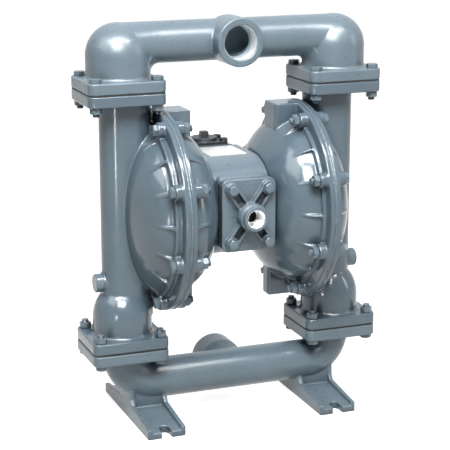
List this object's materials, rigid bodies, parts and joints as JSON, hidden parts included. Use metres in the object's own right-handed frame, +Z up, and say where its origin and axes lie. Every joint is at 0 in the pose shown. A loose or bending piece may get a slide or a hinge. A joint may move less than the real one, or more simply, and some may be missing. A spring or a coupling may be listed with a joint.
{
  "type": "air operated diaphragm pump",
  "caption": "Double diaphragm pump: two domed chambers on column pipes, pipe manifolds with a threaded port each, a central air valve and slotted feet.",
  "frame": {"origin": "on the floor, midway between the two columns and under the diaphragm rod's axis", "axes": "+X along the diaphragm rod to the right-hand column, -Y the front with the air inlet and discharge port, +Z up"},
  "size_m": [0.525, 0.3474, 0.6935],
  "materials": {
    "blue_grey_paint": "semi-gloss blue-grey paint over castings and fasteners",
    "dark_paint": "darker paint on the rear air valve",
    "plate_aluminium": "satin sheet, blank",
    "zinc_steel": "zinc plated",
    "bare_aluminium": "bare casting",
    "bare_steel": "ground",
    "bronze": "machined",
    "seat_plastic": "moulded",
    "black_rubber": "moulded or cut from sheet"
  },
  "bodies": {
    "pump": {"discharge_manifold": "blue_grey_paint", "suction_manifold": "blue_grey_paint", "centre_body": "blue_grey_paint", "nameplate": "plate_aluminium", "nameplate_pins": "zinc_steel", "rod_seals": "black_rubber", "pipe_plugs": "blue_grey_paint", "discharge_bolts": "blue_grey_paint", "suction_bolts": "blue_grey_paint", "discharge_nuts": "blue_grey_paint", "suction_nuts": "blue_grey_paint", "hub_bolts": "bare_steel", "pilot_valve_body": "blue_grey_paint", "pilot_gasket": "black_rubber", "cap_gasket": "black_rubber", "pilot_sleeve": "bronze", "plunger_bushings": "bronze", "air_inlet_cap": "blue_grey_paint", "cap_bolts": "blue_grey_paint", "main_valve_body": "dark_paint", "valve_gasket": "black_rubber", "valve_sleeve": "bronze", "upper_valve_cap": "dark_paint", "lower_valve_cap": "dark_paint", "valve_cap_bolts": "dark_paint", "valve_bolts": "dark_paint", "left_outer_chamber": "blue_grey_paint", "right_outer_chamber": "blue_grey_paint", "left_inner_chamber": "blue_grey_paint", "right_inner_chamber": "blue_grey_paint", "left_diaphragm": "black_rubber", "right_diaphragm": "black_rubber", "left_rod_bushing": "bronze", "right_rod_bushing": "bronze", "left_suction_seat": "seat_plastic", "right_suction_seat": "seat_plastic", "left_discharge_seat": "seat_plastic", "right_discharge_seat": "seat_plastic", "left_suction_gasket": "black_rubber", "right_suction_gasket": "black_rubber", "left_discharge_gasket": "black_rubber", "right_discharge_gasket": "black_rubber", "left_ring_bolts": "blue_grey_paint", "right_ring_bolts": "blue_grey_paint", "left_ring_nuts": "blue_grey_paint", "right_ring_nuts": "blue_grey_paint"},
    "rod": {"diaphragm_rod": "bare_steel", "left_inner_plate": "zinc_steel", "right_inner_plate": "zinc_steel", "left_outer_plate": "bare_aluminium", "right_outer_plate": "bare_aluminium"},
    "pilot_spool": {"pilot_spool": "bare_steel"},
    "left_plunger": {"left_plunger": "bare_steel"},
    "right_plunger": {"right_plunger": "bare_steel"},
    "main_spool": {"valve_spool": "bare_steel"},
    "left_suction_ball": {"left_suction_ball": "black_rubber"},
    "right_suction_ball": {"right_suction_ball": "black_rubber"},
    "left_discharge_ball": {"left_discharge_ball": "black_rubber"},
    "right_discharge_ball": {"right_discharge_ball": "black_rubber"}
  },
  "joints": [
    {"name": "rod_slide", "type": "slide", "parent": "pump", "child": "rod", "axis": [1, 0, 0], "range_m": [-0.016, 0.016], "deforming": ["left_diaphragm", "right_diaphragm"]},
    {"name": "pilot_slide", "type": "slide", "parent": "pump", "child": "pilot_spool", "axis": [1, 0, 0], "range_m": [-0.005, 0.005]},
    {"name": "left_plunger_slide", "type": "slide", "parent": "pump", "child": "left_plunger", "axis": [1, 0, 0], "range_m": [-0.005, 0.005]},
    {"name": "right_plunger_slide", "type": "slide", "parent": "pump", "child": "right_plunger", "axis": [1, 0, 0], "range_m": [-0.005, 0.005]},
    {"name": "main_spool_slide", "type": "slide", "parent": "pump", "child": "main_spool", "axis": [0, 0, 1], "range_m": [0, 0.016]},
    {"name": "left_suction_ball_lift", "type": "slide", "parent": "pump", "child": "left_suction_ball", "axis": [0, 0, 1], "range_m": [0, 0.014]},
    {"name": "right_suction_ball_lift", "type": "slide", "parent": "pump", "child": "right_suction_ball", "axis": [0, 0, 1], "range_m": [0, 0.014]},
    {"name": "left_discharge_ball_lift", "type": "slide", "parent": "pump", "child": "left_discharge_ball", "axis": [0, 0, 1], "range_m": [0, 0.014]},
    {"name": "right_discharge_ball_lift", "type": "slide", "parent": "pump", "child": "right_discharge_ball", "axis": [0, 0, 1], "range_m": [0, 0.014]}
  ],
  "couplings": [
    {"joint": "left_plunger_slide", "follows": "pilot_slide", "ratio": 1},
    {"joint": "right_plunger_slide", "follows": "pilot_slide", "ratio": 1}
  ]
}
